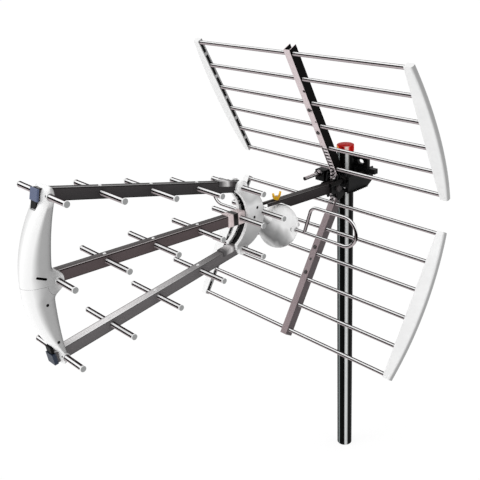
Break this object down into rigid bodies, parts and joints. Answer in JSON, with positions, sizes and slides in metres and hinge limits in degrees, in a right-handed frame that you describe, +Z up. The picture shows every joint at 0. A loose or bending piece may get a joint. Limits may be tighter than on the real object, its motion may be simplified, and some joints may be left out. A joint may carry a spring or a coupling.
{
  "type": "outdoor uhf antenna",
  "caption": "Directional outdoor television aerial on a mast: three director booms, boxed folded dipole, folding corner reflector panels and a tilting mast clamp.",
  "frame": {"origin": "centre of the mast tube's open lower end", "axes": "+Z up along the mast, -Y the way the directors point, X across the rods"},
  "size_m": [0.576, 0.8261, 0.9984],
  "materials": {
    "mast_black": "gloss",
    "cap_red": "gloss",
    "clamp_dark": "satin",
    "zinc": "satin",
    "spacer_black": "matte",
    "boom_dark": "satin",
    "boom_grey": "satin",
    "yellow": "gloss",
    "white": "gloss",
    "pale_plastic": "satin",
    "cap_grey": "satin",
    "board_green": "matte",
    "aluminium": "polished",
    "latch_blue": "satin"
  },
  "bodies": {
    "mast": {"mast_tube": "mast_black", "mast_cap": "cap_red", "clamp_side_left": "clamp_dark", "clamp_side_right": "clamp_dark", "clamp_rear_jaw": "clamp_dark", "clamp_bolts": "zinc", "clamp_nuts": "zinc", "tilt_bolt": "zinc", "tilt_nut": "zinc", "tilt_spacers": "spacer_black"},
    "aerial": {"main_boom": "boom_dark", "carrier_left": "zinc", "carrier_right": "zinc", "hinge_pins": "zinc", "lock_bolt": "zinc", "housing_bolt": "zinc", "dipole_housing": "white", "dipole_cover": "white", "balun_board": "board_green", "coax_socket": "aluminium", "dipole_left": "aluminium", "dipole_right": "aluminium", "dipole_collars": "white", "rear_bracket_left": "white", "rear_bracket_right": "white", "rear_bracket_core": "spacer_black", "rear_bracket_screws": "zinc", "boom_sockets": "pale_plastic", "boom_saddles": "zinc", "director_boom_top": "boom_dark", "director_boom_middle": "boom_dark", "director_boom_bottom": "boom_grey", "directors_top": "aluminium", "directors_middle": "aluminium", "directors_bottom": "aluminium", "director_dipole": "aluminium", "director_caps": "cap_grey", "director_rivets": "aluminium", "front_bracket_upper": "white", "front_bracket_lower": "white", "front_grommets": "spacer_black", "front_bracket_screws": "zinc", "front_plugs": "latch_blue", "plug_tabs": "spacer_black"},
    "upper_reflector": {"upper_channel": "boom_dark", "upper_hinge": "zinc", "upper_rods": "aluminium", "upper_end_left": "white", "upper_end_right": "white", "upper_liners": "spacer_black", "upper_screws": "zinc"},
    "lower_reflector": {"lower_channel": "boom_dark", "lower_hinge": "zinc", "lower_rods": "aluminium", "lower_end_left": "white", "lower_end_right": "white", "lower_liners": "spacer_black", "lower_screws": "zinc"},
    "wing_nut": {"boom_wing_nut": "yellow"}
  },
  "joints": [
    {"name": "aerial_tilt", "type": "hinge", "parent": "mast", "child": "aerial", "pos_m": [0, -0.044, 0.6872], "axis": [1, 0, 0], "range_deg": [-7, 12]},
    {"name": "upper_reflector_fold", "type": "hinge", "parent": "aerial", "child": "upper_reflector", "pos_m": [0, -0.03612, 0.70227], "axis": [1, 0, 0], "range_deg": [0, 25]},
    {"name": "lower_reflector_fold", "type": "hinge", "parent": "aerial", "child": "lower_reflector", "pos_m": [0, -0.0379, 0.67132], "axis": [-1, 0, 0], "range_deg": [0, 22]},
    {"name": "wing_nut_spin", "type": "hinge", "parent": "aerial", "child": "wing_nut", "pos_m": [0, -0.20913, 0.70704], "axis": [0, 0.0576, 0.9983], "continuous": true}
  ]
}
